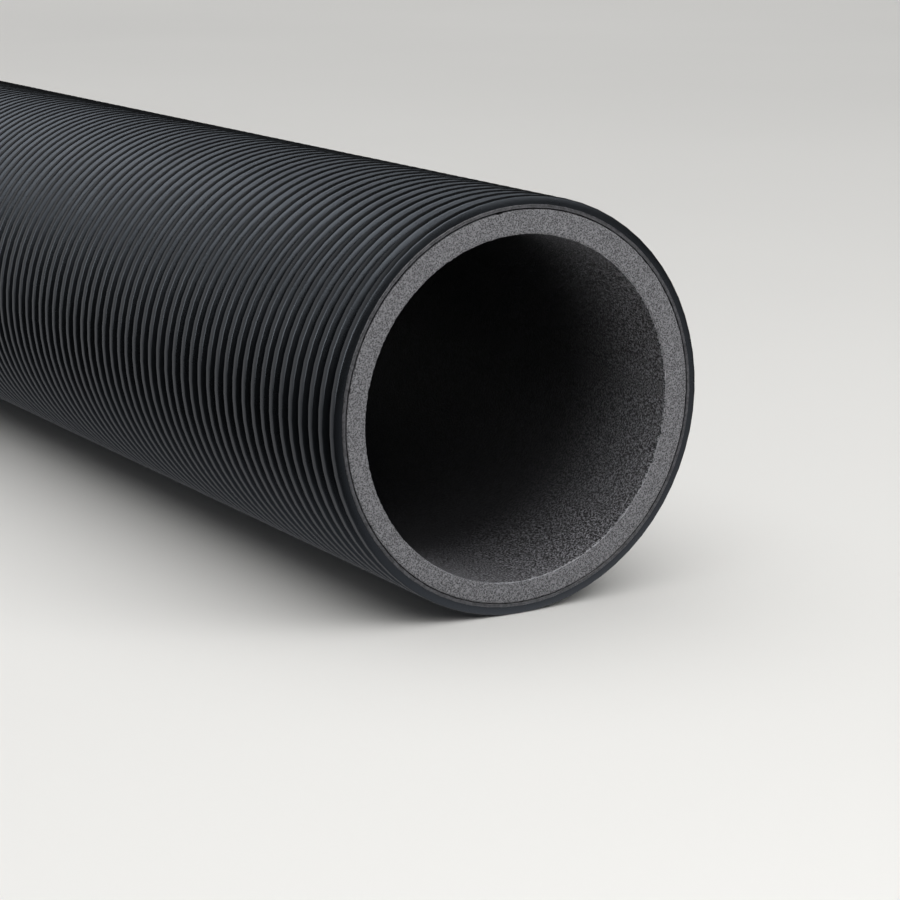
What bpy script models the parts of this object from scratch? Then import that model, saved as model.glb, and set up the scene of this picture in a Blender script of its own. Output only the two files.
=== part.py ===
"""Insulated duct pipe: a black corrugated plastic jacket around a grey foam liner.

One straight length lies along X, with the cut end that the photograph shows at +X.
Units are metres, +Z is up, and the origin is on the ground under the pipe's middle.
"""

from math import cos, pi, radians, sin

import bpy

# Driving dimensions
LENGTH = 1.0
BORE_RADIUS = 0.080
FOAM_THICKNESS = 0.0105
FIT_GAP = 0.0003
VALLEY_WALL = 0.0013
RIB_HEIGHT = 0.0041
RIB_COUNT = 107
CREST_WIDTH = 0.0044
LIP_SETBACK = 0.0003
END_FLANK_RUN = 0.0007

# Facets around each turned piece, the same for both so that they nest
SIDES = 20
HALF_FACET = pi / SIDES
SHARP_ANGLE = radians(30)

# Worked-out dimensions
FOAM_RADIUS = BORE_RADIUS + FOAM_THICKNESS
JACKET_INNER_RADIUS = FOAM_RADIUS + FIT_GAP
VALLEY_RADIUS = JACKET_INNER_RADIUS + VALLEY_WALL
CREST_RADIUS = VALLEY_RADIUS + RIB_HEIGHT
JACKET_LENGTH = LENGTH - 2 * LIP_SETBACK
RIB_PITCH = (JACKET_LENGTH - 2 * END_FLANK_RUN - CREST_WIDTH) / (RIB_COUNT - 1)


def clear_objects():
    for obj in list(bpy.data.objects):
        bpy.data.objects.remove(obj, do_unlink=True)


def plastic(name, colour, roughness):
    """A Principled material, with its colour in linear RGB."""
    material = bpy.data.materials.new(name)
    material.use_nodes = True
    shader = material.node_tree.nodes["Principled BSDF"]
    shader.inputs["Base Color"].default_value = (*colour, 1.0)
    shader.inputs["Roughness"].default_value = roughness
    shader.inputs["Metallic"].default_value = 0.0
    return material


def foam_profile():
    """The liner's section as (radius, along) points: down the outside, up the bore."""
    top = LENGTH / 2
    return [(FOAM_RADIUS, top), (FOAM_RADIUS, -top), (BORE_RADIUS, -top), (BORE_RADIUS, top)]


def jacket_profile():
    """The jacket's section: its ribs with a valley between each two, then the smooth inside.

    Both ends are sawn off at the foot of a rib's flank. The ribs are rings, not a helix.
    """
    top = JACKET_LENGTH / 2
    first_crest = top - END_FLANK_RUN
    half_valley = (RIB_PITCH - CREST_WIDTH) / 2
    points = [(VALLEY_RADIUS, top)]
    for rib in range(RIB_COUNT):
        front = first_crest - rib * RIB_PITCH
        if rib > 0:
            points.append((VALLEY_RADIUS, front + half_valley))
        points += [(CREST_RADIUS, front), (CREST_RADIUS, front - CREST_WIDTH)]
    return points + [(VALLEY_RADIUS, -top), (JACKET_INNER_RADIUS, -top), (JACKET_INNER_RADIUS, top)]


def turned(name, profile, material, collection):
    """A ring turned about X from a closed profile, its facets' middles on the true radii.

    The profile is drawn at half a facet from +X, so that a facet's middle faces the ground.
    """
    corner = 1 / cos(HALF_FACET)
    points = [
        (radius * corner * cos(HALF_FACET), radius * corner * sin(HALF_FACET), along)
        for radius, along in profile
    ]
    edges = [(i, (i + 1) % len(points)) for i in range(len(points))]
    mesh = bpy.data.meshes.new(name)
    mesh.from_pydata(points, edges, [])
    obj = bpy.data.objects.new(name, mesh)
    collection.objects.link(obj)

    screw = obj.modifiers.new("Turn", "SCREW")
    screw.axis = "Z"
    screw.angle = 2 * pi
    screw.steps = SIDES
    screw.render_steps = SIDES
    screw.use_merge_vertices = True
    screw.merge_threshold = 0.00001
    bpy.context.view_layer.objects.active = obj
    bpy.ops.object.modifier_apply(modifier=screw.name)

    obj.data.shade_smooth()
    obj.data.set_sharp_from_angle(angle=SHARP_ANGLE)
    obj.data.materials.append(material)
    obj.rotation_euler = (0, pi / 2, 0)
    obj.location = (0, 0, CREST_RADIUS)
    return obj


def main():
    clear_objects()
    collection = bpy.data.collections.new("insulated_duct_pipe")
    bpy.context.scene.collection.children.link(collection)

    foam = plastic("grey polyethylene foam", (0.16, 0.16, 0.165), 0.8)
    jacket = plastic("black polyethylene", (0.012, 0.013, 0.014), 0.4)
    turned("foam_liner", foam_profile(), foam, collection)
    turned("corrugated_jacket", jacket_profile(), jacket, collection)


main()
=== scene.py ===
"""Insulated duct pipe: a black corrugated plastic jacket around a grey foam liner.

Laid out as an add-on: settings, one operator for each piece, one for the studio, and a panel.
Everything is in metres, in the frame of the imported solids: +X runs out of the cut end, +Z is up.
"""

from math import atan2, cos, pi, radians, sin, tan

import bpy
import numpy as np
from mathutils import Matrix, Vector, noise


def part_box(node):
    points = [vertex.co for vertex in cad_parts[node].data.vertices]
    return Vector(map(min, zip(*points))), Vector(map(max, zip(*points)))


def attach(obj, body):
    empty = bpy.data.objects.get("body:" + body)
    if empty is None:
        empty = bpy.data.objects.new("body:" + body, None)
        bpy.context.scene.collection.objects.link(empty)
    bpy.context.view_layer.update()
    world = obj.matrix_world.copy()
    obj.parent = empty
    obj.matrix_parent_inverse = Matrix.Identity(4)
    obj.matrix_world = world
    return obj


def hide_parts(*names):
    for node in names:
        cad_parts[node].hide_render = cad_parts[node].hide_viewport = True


bl_info = {
    "name": "Insulated Duct Pipe",
    "version": (1, 0, 0),
    "blender": (4, 5, 0),
    "location": "View3D > Sidebar > Duct",
    "description": "Dresses a length of foam-lined corrugated duct and lights it in a plain studio",
    "category": "Object",
}

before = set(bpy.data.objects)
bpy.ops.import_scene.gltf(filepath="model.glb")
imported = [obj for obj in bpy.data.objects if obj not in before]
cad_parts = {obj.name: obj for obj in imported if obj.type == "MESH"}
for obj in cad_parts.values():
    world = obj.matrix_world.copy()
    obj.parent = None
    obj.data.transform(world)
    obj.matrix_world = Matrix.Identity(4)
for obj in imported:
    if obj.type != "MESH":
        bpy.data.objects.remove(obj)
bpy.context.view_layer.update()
JACKET_LOW, JACKET_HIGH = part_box("corrugated_jacket")
LINER_LOW, LINER_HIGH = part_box("foam_liner")

MM = 0.001
AXIS_HEIGHT = (JACKET_LOW.z + JACKET_HIGH.z) / 2
CREST_RADIUS = (JACKET_HIGH.z - JACKET_LOW.z) / 2
LINER_RADIUS = (LINER_HIGH.z - LINER_LOW.z) / 2
LINER_THICKNESS = 10.5 * MM
NEAR_END = LINER_HIGH.x

# The real liner is a little uneven. Angles are 0 at the top and grow towards +Y.
BORE_OFFSET = 1.2 * MM
BORE_OFFSET_ANGLE = radians(-140)
DRAWN_IN = 0.5 * MM
DRAWN_IN_ANGLE = radians(-45)
CHIPPED_ANGLE = radians(-60)
# How far into the bore the skin is lighter: partly scuffed by the saw and handling, partly painted light at
# the bore's mouth, with painted shade deeper in
SCUFF_AND_SHADE_DEPTH = 90 * MM
# How far from a cut the saw's roughness has faded out
ROUGH_DEPTH = 7 * MM

# The bead of scraped plastic on the jacket's sawn lip: its radius, and how deep the lip is dull
LIP_BEAD = 0.32 * MM
LIP_DEPTH = 0.8 * MM

# How far a rib of the jacket sinks or stands aside, at most
RIB_SINK = 0.1 * MM
RIB_SHIFT = 0.12 * MM

# Sides of each turned piece: few for the jacket, which has many ribs, and many for the grainy foam
JACKET_SIDES = 65
LINER_SIDES = 900
MERGE_DISTANCE = 0.001 * MM

# A turned piece is made about local Z, then laid down so that Z becomes the duct's X
LAY_DOWN = Matrix.Translation((0, 0, AXIS_HEIGHT)) @ Matrix.Rotation(pi / 2, 4, "Y")

# Square soft boxes around the near end: name, direction and watts
SOFT_BOX_DISTANCE = 2.2
SOFT_BOX_SIZE = 1.3
SOFT_BOXES = [
    ("key", (0.80, -0.10, 0.60), 13.0),
    ("front_right", (0.65, 0.50, 0.57), 13.0),
    ("front_left", (0.50, -0.50, 0.70), 4.0),
]
# Soft boxes that are seen in gloss alone, so that the ribs shine without bleaching the floor
GLOSS_BOXES = [
    ("gloss_front", (0.88, -0.10, 0.46), 10.0),
    ("gloss_top", (0.55, 0.05, 0.83), 20.0),
    ("gloss_left", (0.30, -0.77, 0.56), 15.0),
    ("gloss_side", (0.0, -0.95, 0.30), 20.0),
    ("gloss_back", (-0.50, -0.82, 0.30), 3.0),
]

CEILING_STRENGTH = 2.1
CEILING_SPREAD = radians(90)
# What the glossy jacket sees past the lights: a dim room, lighter below, with soft glows in it
ROOM_STRENGTH = 0.03
ROOM_STRENGTH_BELOW = 0.5
# Direction, reach in degrees and strength of each glow: low in front, and behind at the left
ROOM_GLOWS = [
    ((0.65, 0.60, -0.50), 42, 0.8),
    ((-0.86, -0.51, 0.05), 55, 0.42),
]

# The photograph's view, which the camera repeats: 900 pixels on each side
PICTURE_PIXELS = 900
FOCAL_PIXELS = 2716.9
SENSOR_WIDTH = 36
CAMERA_FROM_NEAR_END = Vector((1.0125, -0.6397, 0.2543))
VIEW_FORWARD = Vector((-0.8381, 0.4980, -0.2227))


def linear(hex_colour):
    """An sRGB hex colour as linear RGBA."""
    channels = [int(hex_colour[i : i + 2], 16) / 255 for i in (1, 3, 5)]
    straight = [c / 12.92 if c <= 0.04045 else ((c + 0.055) / 1.055) ** 2.4 for c in channels]
    return (*straight, 1.0)


class DuctJacketSettings(bpy.types.PropertyGroup):
    rib_count: bpy.props.IntProperty(
        name="Ribs", description="Rings along the jacket", default=107, min=2
    )
    rib_height: bpy.props.FloatProperty(
        name="Rib height", description="From valley to crest", default=4.1 * MM, unit="LENGTH"
    )
    crest_flat: bpy.props.FloatProperty(
        name="Crest flat", description="Level width on top of a rib", default=2.9 * MM, unit="LENGTH"
    )
    shoulder: bpy.props.FloatProperty(
        name="Shoulder radius", description="Rounding of a rib's two edges", default=0.8 * MM, unit="LENGTH"
    )
    fillet: bpy.props.FloatProperty(
        name="Valley fillet", description="Rounding at the foot of a flank", default=1.4 * MM, unit="LENGTH"
    )
    flank_lean: bpy.props.FloatProperty(
        name="Flank lean", description="Lean of a flank off square", default=radians(14), subtype="ANGLE"
    )
    wall: bpy.props.FloatProperty(
        name="Wall", description="Wall thickness in a valley", default=1.3 * MM, unit="LENGTH"
    )
    setback: bpy.props.FloatProperty(
        name="Lip setback", description="From foam end to lip", default=0.2 * MM, unit="LENGTH"
    )
    colour: bpy.props.FloatVectorProperty(
        name="Plastic",
        description="Black polyethylene",
        subtype="COLOR",
        size=4,
        default=linear("#050607"),
    )
    lip_colour: bpy.props.FloatVectorProperty(
        name="Sawn lip",
        description="Grey of the scraped lip",
        subtype="COLOR",
        size=4,
        default=linear("#3C3C3F"),
    )


class DuctLinerSettings(bpy.types.PropertyGroup):
    cell: bpy.props.FloatProperty(
        name="Cut cell", description="Size of a cut foam cell", default=0.8 * MM, unit="LENGTH"
    )
    skin_cell: bpy.props.FloatProperty(
        name="Skin cell", description="Size of a cell in the bore's skin", default=0.9 * MM, unit="LENGTH"
    )
    colour: bpy.props.FloatVectorProperty(
        name="Cut foam",
        description="Grey of the cut face",
        subtype="COLOR",
        size=4,
        default=linear("#5D5D60"),
    )
    # The skin's own grey, made darker as painted shade inside the bore; the liner's outside takes it too
    skin_and_shade_colour: bpy.props.FloatVectorProperty(
        name="Bore skin and shade",
        description="Grey of the bore's skin",
        subtype="COLOR",
        size=4,
        default=linear("#212123"),
    )
    scuff_and_light_colour: bpy.props.FloatVectorProperty(
        name="Scuff and painted light",
        description="Grey of the bore's skin beside the cuts",
        subtype="COLOR",
        size=4,
        default=linear("#5D5D60"),
    )


class DuctStageSettings(bpy.types.PropertyGroup):
    floor_colour: bpy.props.FloatVectorProperty(
        name="Floor",
        description="Pale studio floor",
        subtype="COLOR",
        size=4,
        default=linear("#E6E5E2"),
    )
    floor_radius: bpy.props.FloatProperty(
        name="Floor radius", description="How far the floor reaches", default=25.0, unit="LENGTH"
    )


def add_node(tree, kind, inputs=(), **settings):
    """A node with its settings, and its inputs set to values or linked to sockets."""
    node = tree.nodes.new(kind)
    for name, value in settings.items():
        setattr(node, name, value)
    for name, value in dict(inputs).items():
        if isinstance(value, bpy.types.NodeSocket):
            tree.links.new(value, node.inputs[name])
        else:
            node.inputs[name].default_value = value
    return node


def new_material(name):
    """An empty material with its Principled shader."""
    material = bpy.data.materials.new(name)
    material.use_nodes = True
    return material, material.node_tree, material.node_tree.nodes["Principled BSDF"]


def ramp(tree, factor, low, high, low_at=0.0, high_at=1.0):
    """A colour ramp between two colours."""
    node = add_node(tree, "ShaderNodeValToRGB", {"Fac": factor})
    first, last = node.color_ramp.elements
    first.position, first.color = low_at, low
    last.position, last.color = high_at, high
    return node.outputs["Color"]


def mix_colours(tree, factor, low, high):
    """One colour at factor 0, which becomes the other at factor 1."""
    colour_a, colour_b, result = 6, 7, 2
    inputs = {"Factor": factor, colour_a: low, colour_b: high}
    return add_node(tree, "ShaderNodeMix", inputs, data_type="RGBA").outputs[result]


def noise_texture(tree, place, size, detail=2.0, roughness=0.6):
    """Noise whose grains have a size in the units of its place, which are mostly metres."""
    settings = {"Vector": place, "Scale": 1 / size, "Detail": detail, "Roughness": roughness}
    return add_node(tree, "ShaderNodeTexNoise", settings).outputs["Fac"]


def shade(colour, share):
    """A colour made lighter or darker."""
    return (*(c * share for c in colour[:3]), 1.0)


def moulded_black_polyethylene(colour):
    """Polyethylene from a corrugator's mould: satin, slightly uneven, with fine rings round the pipe."""
    material, tree, shader = new_material("moulded_black_polyethylene")
    place = add_node(tree, "ShaderNodeTexCoord").outputs["Object"]
    # The mould leaves streaks, narrow along X and long around the pipe
    streak_width, streak_length = 0.5 * MM, 60 * MM
    streaks = add_node(
        tree,
        "ShaderNodeMapping",
        {"Vector": place, "Scale": (1 / streak_width, 1 / streak_length, 1 / streak_length)},
    )
    chatter = noise_texture(tree, streaks.outputs["Vector"], 1.0, 2.0, 0.5)
    grain = noise_texture(tree, place, 0.35 * MM)
    # Scuffs and handling marks
    scuffs = noise_texture(tree, place, 40 * MM, 6.0, 0.65)
    base = ramp(tree, scuffs, shade(colour, 0.85), shade(colour, 1.3), 0.4, 0.75)
    roughness = add_node(
        tree,
        "ShaderNodeMapRange",
        {"Value": scuffs, "From Min": 0.3, "From Max": 0.7, "To Min": 0.24, "To Max": 0.31},
    )
    rings = add_node(
        tree, "ShaderNodeBump", {"Height": chatter, "Strength": 0.6, "Distance": 0.05 * MM}
    ).outputs["Normal"]
    bump = add_node(
        tree,
        "ShaderNodeBump",
        {"Height": grain, "Strength": 0.3, "Distance": 0.04 * MM, "Normal": rings},
    )
    tree.links.new(base, shader.inputs["Base Color"])
    tree.links.new(roughness.outputs["Result"], shader.inputs["Roughness"])
    tree.links.new(bump.outputs["Normal"], shader.inputs["Normal"])
    shader.inputs["IOR"].default_value = 1.51
    # The reflections are tinted blue: painted light, the colour of a cool light
    shader.inputs["Specular Tint"].default_value = linear("#E3EDFA")
    return material


def sawn_polyethylene(colour):
    """The jacket's sawn lip: polyethylene scraped dull and greyish by the saw."""
    material, tree, shader = new_material("sawn_polyethylene")
    place = add_node(tree, "ShaderNodeTexCoord").outputs["Object"]
    # Tooth marks and burrs
    scrapes = noise_texture(tree, place, 1.2 * MM, 3.0, 0.7)
    base = ramp(tree, scrapes, shade(colour, 0.4), shade(colour, 1.9), 0.35, 0.65)
    bump = add_node(tree, "ShaderNodeBump", {"Height": scrapes, "Strength": 0.6, "Distance": 0.15 * MM})
    tree.links.new(base, shader.inputs["Base Color"])
    tree.links.new(bump.outputs["Normal"], shader.inputs["Normal"])
    shader.inputs["Roughness"].default_value = 0.3
    shader.inputs["IOR"].default_value = 1.51
    return material


def cut_polyethylene_foam(colour, cell):
    """Closed-cell foam sawn through: dull, with each opened cell a small dark cup in a lighter web."""
    material, tree, shader = new_material("cut_polyethylene_foam")
    place = add_node(tree, "ShaderNodeTexCoord").outputs["Object"]
    cells = add_node(tree, "ShaderNodeTexVoronoi", {"Vector": place, "Scale": 1 / cell, "Randomness": 1.0})
    crumbs = noise_texture(tree, place, 0.6 * cell, 1.0)
    grain = add_node(
        tree,
        "ShaderNodeMath",
        {0: cells.outputs["Distance"], 1: 0.6, 2: crumbs},
        operation="MULTIPLY_ADD",
    ).outputs["Value"]
    base = ramp(tree, grain, shade(colour, 0.25), shade(colour, 2.0), 0.55, 1.1)
    bump = add_node(tree, "ShaderNodeBump", {"Height": grain, "Strength": 0.6, "Distance": 0.3 * MM})
    tree.links.new(base, shader.inputs["Base Color"])
    tree.links.new(bump.outputs["Normal"], shader.inputs["Normal"])
    shader.inputs["Roughness"].default_value = 0.85
    shader.inputs["IOR"].default_value = 1.45
    return material


def foam_skin(name, colour, scuff_and_light_colour, cell):
    """Extruded foam's own skin: satin and pimpled, with painted glints in its pimples, and lighter beside
    the cuts, partly from scuffing and partly as painted light at the bore's mouth, with painted shade
    deeper in.
    """
    material, tree, shader = new_material(name)
    place = add_node(tree, "ShaderNodeTexCoord").outputs["Object"]
    along = add_node(tree, "ShaderNodeSeparateXYZ", {"Vector": place}).outputs["X"]
    from_middle = add_node(tree, "ShaderNodeMath", {0: along}, operation="ABSOLUTE").outputs["Value"]
    # Lightens the skin towards the cuts: partly scuffing, partly painted light at the bore's mouth, with
    # painted shade deeper in the bore
    scuff_and_shade_mask = add_node(
        tree,
        "ShaderNodeMapRange",
        {"Value": from_middle, "From Min": NEAR_END - SCUFF_AND_SHADE_DEPTH, "From Max": NEAR_END},
        interpolation_type="SMOOTHSTEP",
    ).outputs["Result"]
    pimples = noise_texture(tree, place, cell)
    ripple = noise_texture(tree, place, 6 * cell, 3.0)
    # The pimples' strong light and dark specks are partly the skin's grain and partly painted glints of
    # light on the pimples
    deep_skin_and_glints = ramp(tree, pimples, shade(colour, 0.2), shade(colour, 3.2), 0.42, 0.66)
    scuff_light_and_glints = ramp(tree, pimples, shade(scuff_and_light_colour, 0.15), shade(scuff_and_light_colour, 3.4), 0.44, 0.66)
    skin = mix_colours(tree, scuff_and_shade_mask, deep_skin_and_glints, scuff_light_and_glints)
    # A light line is painted along the last 1.5 mm or so of skin, which the saw tears open: a painted
    # highlight of the torn rim catching the light. The noise, which is 0.5 on average, makes the line's
    # edge ragged.
    ragged = add_node(
        tree, "ShaderNodeMath", {0: pimples, 1: 6 * MM, 2: from_middle}, operation="MULTIPLY_ADD"
    ).outputs["Value"]
    torn_rim_highlight = add_node(
        tree,
        "ShaderNodeMapRange",
        {"Value": ragged, "From Min": NEAR_END + 1.2 * MM, "From Max": NEAR_END + 1.8 * MM},
    ).outputs["Result"]
    base = mix_colours(tree, torn_rim_highlight, skin, shade(scuff_and_light_colour, 4.5))
    swell = add_node(tree, "ShaderNodeBump", {"Height": ripple, "Strength": 0.5, "Distance": 0.8 * MM})
    bump = add_node(
        tree,
        "ShaderNodeBump",
        {"Height": pimples, "Strength": 1.0, "Distance": 1.0 * MM, "Normal": swell.outputs["Normal"]},
    )
    tree.links.new(base, shader.inputs["Base Color"])
    tree.links.new(bump.outputs["Normal"], shader.inputs["Normal"])
    shader.inputs["Roughness"].default_value = 0.45
    shader.inputs["Specular IOR Level"].default_value = 0.4
    return material


def painted_floor(colour):
    """A plain matt studio floor, with a very faint unevenness."""
    material, tree, shader = new_material("matt_studio_floor")
    place = add_node(tree, "ShaderNodeTexCoord").outputs["Object"]
    cloud = noise_texture(tree, place, 1.25, 3.0, 0.5)
    base = ramp(tree, cloud, shade(colour, 0.98), shade(colour, 1.02), 0.3, 0.7)
    tree.links.new(base, shader.inputs["Base Color"])
    shader.inputs["Roughness"].default_value = 0.9
    shader.inputs["Specular IOR Level"].default_value = 0.1
    return material


def arc(along, out, radius, start, end, count):
    """Points of an arc as (along, out), from one angle to another in radians; 0 points along +X."""
    angles = [start + (end - start) * i / (count - 1) for i in range(count)]
    return [(along + radius * cos(a), out + radius * sin(a)) for a in angles]


def rib_middles(count, first, length):
    """Where each rib's middle lies, measured back from the jacket's near lip.

    The mould's blocks leave a slightly shorter gap twice in eleven ribs, and the two ribs beside
    the cut have sprung a little apart.
    """
    gaps = [1.107, 1.017] + [0.95 if i % 11 in (1, 6) else 1.0 for i in range(2, count - 1)]
    pitch = (length - 2 * first) / sum(gaps)
    return [first + pitch * sum(gaps[:i]) for i in range(count)]


def jacket_profile(settings):
    """The jacket's closed section as (along, out): the ribs from the near lip back, then the inside."""
    valley = CREST_RADIUS - settings.rib_height
    inner = valley - settings.wall
    lip = NEAR_END - settings.setback
    rounding, foot, lean = settings.shoulder, settings.fillet, settings.flank_lean
    half_flat = settings.crest_flat / 2
    shoulder_height = CREST_RADIUS - rounding
    # From a rib's middle to the centre of its foot's fillet, down the leaning flank
    drop = (shoulder_height + rounding * sin(lean)) - (valley + foot - foot * sin(lean))
    foot_place = half_flat + (rounding + foot) * cos(lean) + drop * tan(lean)

    # The flank beside a cut stands straighter, behind a bead that the saw has left on the lip
    end_lean = lean / 3
    end_drop = shoulder_height + rounding * sin(end_lean) - valley
    end_run = half_flat + rounding * cos(end_lean) + end_drop * tan(end_lean)
    lip_end = [
        (lip - 0.1 * MM, inner),
        (lip, inner + 0.12 * MM),
        *arc(lip - LIP_BEAD, valley - 0.02 * MM, LIP_BEAD, 0, radians(110), 4),
    ]
    middles = [lip - back for back in rib_middles(settings.rib_count, end_run + 1.3 * LIP_BEAD, 2 * lip)]
    points = list(lip_end)
    for middle in middles:
        front, back = middle + foot_place, middle - foot_place
        if middle is not middles[0]:
            points += arc(front, valley + foot, foot, 1.5 * pi, pi + lean, 4)
        else:
            points.append((middle + end_run, valley))
        points += arc(middle + half_flat, shoulder_height, rounding, lean, pi / 2, 4)
        points += arc(middle - half_flat, shoulder_height, rounding, pi / 2, pi - lean, 3)
        if middle is not middles[-1]:
            points += arc(back, valley + foot, foot, -lean, -pi / 2, 3)
        else:
            points.append((middle - end_run, valley))
    return points + [(-along, out) for along, out in lip_end[::-1]]


def liner_profile():
    """The liner's closed section as (along, out): outside, far face, bore, near face."""
    edge, bore = LINER_RADIUS, LINER_RADIUS - LINER_THICKNESS
    # Rings lie closer together toward the cuts, where the saw has moved the points
    depths = [0.0006, 0.0012, 0.0019, 0.0027, 0.0036, 0.0047, 0.006, 0.008, 0.011, 0.016, 0.026, 0.05, 0.12]
    outside_depths = [0.0007, 0.0015, 0.0026, 0.005]
    face_steps = 18
    face = [bore + LINER_THICKNESS * i / face_steps for i in range(1, face_steps)]
    points = [(NEAR_END - d, edge) for d in [0.0] + outside_depths]
    points += [(-NEAR_END + d, edge) for d in outside_depths[::-1] + [0.0]]
    points += [(-NEAR_END, r) for r in face[::-1]]
    points += [(-NEAR_END, bore)] + [(-NEAR_END + d, bore) for d in depths]
    points += [(0.0, bore)]
    points += [(NEAR_END - d, bore) for d in depths[::-1]] + [(NEAR_END, bore)]
    points += [(NEAR_END, r) for r in face]
    return points


def turned(name, profile, sides):
    """A ring turned from a closed section of (along, out) points that runs down its outer side."""
    mesh = bpy.data.meshes.new(name)
    edges = [(i, (i + 1) % len(profile)) for i in range(len(profile))]
    mesh.from_pydata([(out, 0, along) for along, out in profile], edges, [])
    obj = bpy.data.objects.new(name, mesh)
    bpy.context.scene.collection.objects.link(obj)
    screw = obj.modifiers.new("Turn", "SCREW")
    screw.angle = 2 * pi
    screw.steps = sides
    screw.render_steps = sides
    screw.use_merge_vertices = True
    screw.merge_threshold = MERGE_DISTANCE
    bpy.context.view_layer.objects.active = obj
    bpy.ops.object.modifier_apply(modifier=screw.name)
    obj.data.transform(LAY_DOWN)
    return obj


def move_points(mesh, rule):
    """Moves each point by a rule on (x, radius, angle), which gives the new x and radius.

    The angle is 0 at the top and grows towards +Y.
    """
    flat = np.empty(len(mesh.vertices) * 3)
    mesh.vertices.foreach_get("co", flat)
    points = flat.reshape(-1, 3)
    for point in points:
        y, z = point[1], point[2] - AXIS_HEIGHT
        angle, radius = atan2(y, z), (y * y + z * z) ** 0.5
        point[0], radius = rule(point[0], radius, angle)
        point[1], point[2] = radius * sin(angle), AXIS_HEIGHT + radius * cos(angle)
    mesh.vertices.foreach_set("co", points.ravel())
    mesh.update()


def smooth_step(value, low, high):
    share = min(max((value - low) / (high - low), 0.0), 1.0)
    return share * share * (3 - 2 * share)


def wobble(x, radius, angle):
    """The jacket's ribs are a little uneven: some sit lower, or to one side."""
    around = Vector((2.5 * cos(angle), 2.5 * sin(angle), x * 90))
    sink = RIB_SINK * (0.5 + 0.5 * noise.noise(around))
    shift = RIB_SHIFT * noise.noise(around * 1.3 + Vector((7, 3, 5)))
    return x + shift, radius - sink


def cut_roughly(x, radius, angle):
    """The sawn ends: a grainy face and ragged edges with chips.

    The bore is off centre, and the outside is drawn in at the upper left.
    """
    bore, end = LINER_RADIUS - LINER_THICKNESS, NEAR_END
    near_bore = 1 - smooth_step(radius - bore, 0, 0.9 * MM)
    near_outside = 1 - smooth_step(LINER_RADIUS - radius, 0, 1.2 * MM)
    inward = (LINER_RADIUS - radius) / LINER_THICKNESS
    radius += inward * BORE_OFFSET * cos(angle - BORE_OFFSET_ANGLE)
    depth = end - abs(x)
    at_end = 1 - smooth_step(depth, 0.0, ROUGH_DEPTH)
    if at_end <= 0:
        return x, radius
    here = Vector((x, radius * sin(angle), radius * cos(angle)))
    grain = noise.noise(here / (1.5 * MM))
    coarse = noise.noise(here / (4 * MM) + Vector((3, 1, 4)))
    chip = smooth_step(noise.noise(here / (5 * MM) + Vector((9, 2, 6))), 0.2, 0.5) * near_outside
    chip *= smooth_step(cos(angle - CHIPPED_ANGLE), 0.1, 0.6)
    drawn_in = DRAWN_IN * (0.5 + 0.5 * cos(angle - DRAWN_IN_ANGLE)) ** 2 * near_outside
    back = 0.1 * MM * (1 + grain) + 0.08 * MM * (1 + coarse)
    back += 0.35 * MM * max(near_bore, near_outside) ** 2 + 0.6 * MM * chip
    on_face = 1 - smooth_step(depth, 0, 0.5 * MM)
    x_new = x - back * on_face * (1 if x > 0 else -1)
    radius += at_end * near_bore * (0.22 * MM * grain + 0.14 * MM * coarse)
    radius -= at_end * near_outside * (0.12 * MM * (1 + grain) + 0.5 * MM * chip + drawn_in)
    return x_new, radius


def distance_out(point):
    """A point's distance from the duct's axis."""
    return (point.y**2 + (point.z - AXIS_HEIGHT) ** 2) ** 0.5


def smooth_faces(obj, angle):
    obj.data.shade_smooth()
    obj.data.set_sharp_from_angle(angle=radians(angle))


class DUCT_OT_corrugated_jacket(bpy.types.Operator):
    """Makes the corrugated jacket, with its mould spacing and its cut lips"""

    bl_idname = "duct.corrugated_jacket"
    bl_label = "Corrugated jacket"

    def execute(self, context):
        settings = context.scene.duct_jacket
        jacket = turned("jacket", jacket_profile(settings), JACKET_SIDES)
        jacket.data.materials.append(moulded_black_polyethylene(settings.colour))
        jacket.data.materials.append(sawn_polyethylene(settings.lip_colour))
        lip_limit = CREST_RADIUS - settings.rib_height + LIP_BEAD
        for face in jacket.data.polygons:
            if abs(face.center.x) > NEAR_END - LIP_DEPTH and distance_out(face.center) < lip_limit:
                face.material_index = 1
        move_points(jacket.data, wobble)
        smooth_faces(jacket, 50)
        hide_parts("corrugated_jacket")
        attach(jacket, "root")
        return {"FINISHED"}


class DUCT_OT_foam_liner(bpy.types.Operator):
    """Makes the foam liner, with its sawn ends and the skin of its bore"""

    bl_idname = "duct.foam_liner"
    bl_label = "Foam liner"

    def execute(self, context):
        settings = context.scene.duct_liner
        liner = turned("liner", liner_profile(), LINER_SIDES)
        liner.data.materials.append(cut_polyethylene_foam(settings.colour, settings.cell))
        liner.data.materials.append(
            foam_skin("scuff_and_painted_light_foam_skin", settings.skin_and_shade_colour, settings.scuff_and_light_colour, settings.skin_cell)
        )
        liner.data.materials.append(
            foam_skin("closed_foam_skin", settings.skin_and_shade_colour, settings.skin_and_shade_colour, settings.skin_cell)
        )
        bore_limit = LINER_RADIUS - LINER_THICKNESS + 0.1 * MM
        outside_limit = LINER_RADIUS - 0.1 * MM
        for face in liner.data.polygons:
            out = distance_out(face.center)
            if out < bore_limit:
                face.material_index = 1
            elif out > outside_limit:
                face.material_index = 2
        move_points(liner.data, cut_roughly)
        smooth_faces(liner, 60)
        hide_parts("foam_liner")
        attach(liner, "root")
        return {"FINISHED"}


def soft_box(name, target, direction, power):
    """A square area light that faces a target from a direction."""
    data = bpy.data.lights.new(name, "AREA")
    data.size = SOFT_BOX_SIZE
    data.energy = power
    lamp = bpy.data.objects.new(name, data)
    lamp.location = target + SOFT_BOX_DISTANCE * Vector(direction).normalized()
    lamp.rotation_euler = (target - lamp.location).to_track_quat("-Z", "Y").to_euler()
    bpy.context.scene.collection.objects.link(lamp)
    return lamp


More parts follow.
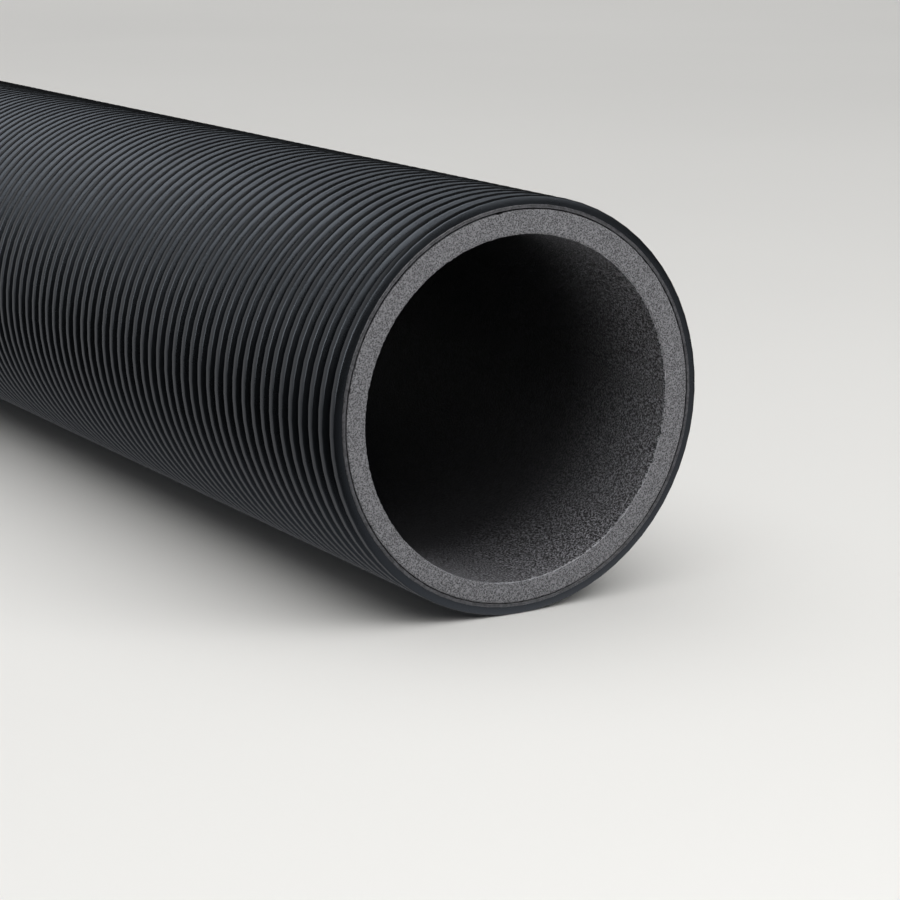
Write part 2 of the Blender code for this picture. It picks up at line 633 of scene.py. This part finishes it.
def dark_room():
    """The room beyond the lights: dim, lighter below, with its soft glows."""
    world = bpy.data.worlds.new("dark_room")
    world.use_nodes = True
    tree = world.node_tree
    direction = add_node(tree, "ShaderNodeTexCoord").outputs["Generated"]
    height = add_node(tree, "ShaderNodeSeparateXYZ", {"Vector": direction}).outputs["Z"]
    room = add_node(
        tree,
        "ShaderNodeMapRange",
        {
            "Value": height,
            "From Min": -0.7,
            "From Max": -0.4,
            "To Min": ROOM_STRENGTH_BELOW,
            "To Max": ROOM_STRENGTH,
        },
    ).outputs["Result"]
    strength = room
    for toward, reach, peak in ROOM_GLOWS:
        nearness = add_node(
            tree,
            "ShaderNodeVectorMath",
            {0: direction, 1: Vector(toward).normalized()},
            operation="DOT_PRODUCT",
        ).outputs["Value"]
        glow = add_node(
            tree,
            "ShaderNodeMapRange",
            {
                "Value": nearness,
                "From Min": cos(radians(reach)),
                "From Max": 1.0,
                "To Min": 0.0,
                "To Max": peak,
            },
            interpolation_type="SMOOTHSTEP",
        ).outputs["Result"]
        total = add_node(tree, "ShaderNodeMath", {0: strength, 1: glow}, operation="ADD")
        strength = total.outputs["Value"]
    background = tree.nodes["Background"]
    background.inputs["Color"].default_value = linear("#FAFBFF")
    tree.links.new(strength, background.inputs["Strength"])
    return world


class DUCT_OT_studio(bpy.types.Operator):
    """Makes the pale floor, the soft lights and the camera"""

    bl_idname = "duct.studio"
    bl_label = "Studio"

    def execute(self, context):
        settings = context.scene.duct_stage
        bpy.ops.mesh.primitive_circle_add(
            vertices=96, radius=settings.floor_radius, fill_type="NGON", location=(0, 0, 0)
        )
        floor = context.active_object
        floor.name = "floor"
        floor.data.materials.append(painted_floor(settings.floor_colour))
        # The glossy jacket shows the dark room and not the pale floor, as in the photograph
        floor.visible_glossy = False

        near_end = Vector((NEAR_END, 0, AXIS_HEIGHT))
        for name, direction, power in SOFT_BOXES:
            soft_box(name, near_end, direction, power)
        for name, direction, power in GLOSS_BOXES:
            soft_box(name, near_end, direction, power).visible_diffuse = False
        # A luminous ceiling, far and wide, that lights the whole floor evenly and isn't mirrored
        light = bpy.data.lights.new("ceiling", "SUN")
        light.energy = CEILING_STRENGTH
        light.angle = CEILING_SPREAD
        ceiling = bpy.data.objects.new("ceiling", light)
        ceiling.visible_glossy = False
        context.scene.collection.objects.link(ceiling)
        context.scene.world = dark_room()

        data = bpy.data.cameras.new("camera")
        data.sensor_width = SENSOR_WIDTH
        data.lens = FOCAL_PIXELS / PICTURE_PIXELS * SENSOR_WIDTH
        data.clip_end = 100
        camera = bpy.data.objects.new("camera", data)
        camera.location = near_end + CAMERA_FROM_NEAR_END
        camera.rotation_euler = VIEW_FORWARD.to_track_quat("-Z", "Y").to_euler()
        context.scene.collection.objects.link(camera)
        context.scene.camera = camera
        context.scene.view_settings.view_transform = "Standard"
        return {"FINISHED"}


class DUCT_PT_panel(bpy.types.Panel):
    bl_label = "Insulated duct pipe"
    bl_space_type = "VIEW_3D"
    bl_region_type = "UI"
    bl_category = "Duct"

    def draw(self, context):
        scene = context.scene
        for operator, settings in (
            (DUCT_OT_studio, scene.duct_stage),
            (DUCT_OT_corrugated_jacket, scene.duct_jacket),
            (DUCT_OT_foam_liner, scene.duct_liner),
        ):
            box = self.layout.box()
            for name in settings.__annotations__:
                box.prop(settings, name)
            box.operator(operator.bl_idname)


CLASSES = (
    DuctJacketSettings,
    DuctLinerSettings,
    DuctStageSettings,
    DUCT_OT_studio,
    DUCT_OT_corrugated_jacket,
    DUCT_OT_foam_liner,
    DUCT_PT_panel,
)


def register():
    for cls in CLASSES:
        bpy.utils.register_class(cls)
    bpy.types.Scene.duct_jacket = bpy.props.PointerProperty(type=DuctJacketSettings)
    bpy.types.Scene.duct_liner = bpy.props.PointerProperty(type=DuctLinerSettings)
    bpy.types.Scene.duct_stage = bpy.props.PointerProperty(type=DuctStageSettings)


def unregister():
    del bpy.types.Scene.duct_stage
    del bpy.types.Scene.duct_liner
    del bpy.types.Scene.duct_jacket
    for cls in reversed(CLASSES):
        bpy.utils.unregister_class(cls)


def main():
    register()
    bpy.ops.duct.studio()
    bpy.ops.duct.corrugated_jacket()
    bpy.ops.duct.foam_liner()


if __name__ == "__main__":
    main()
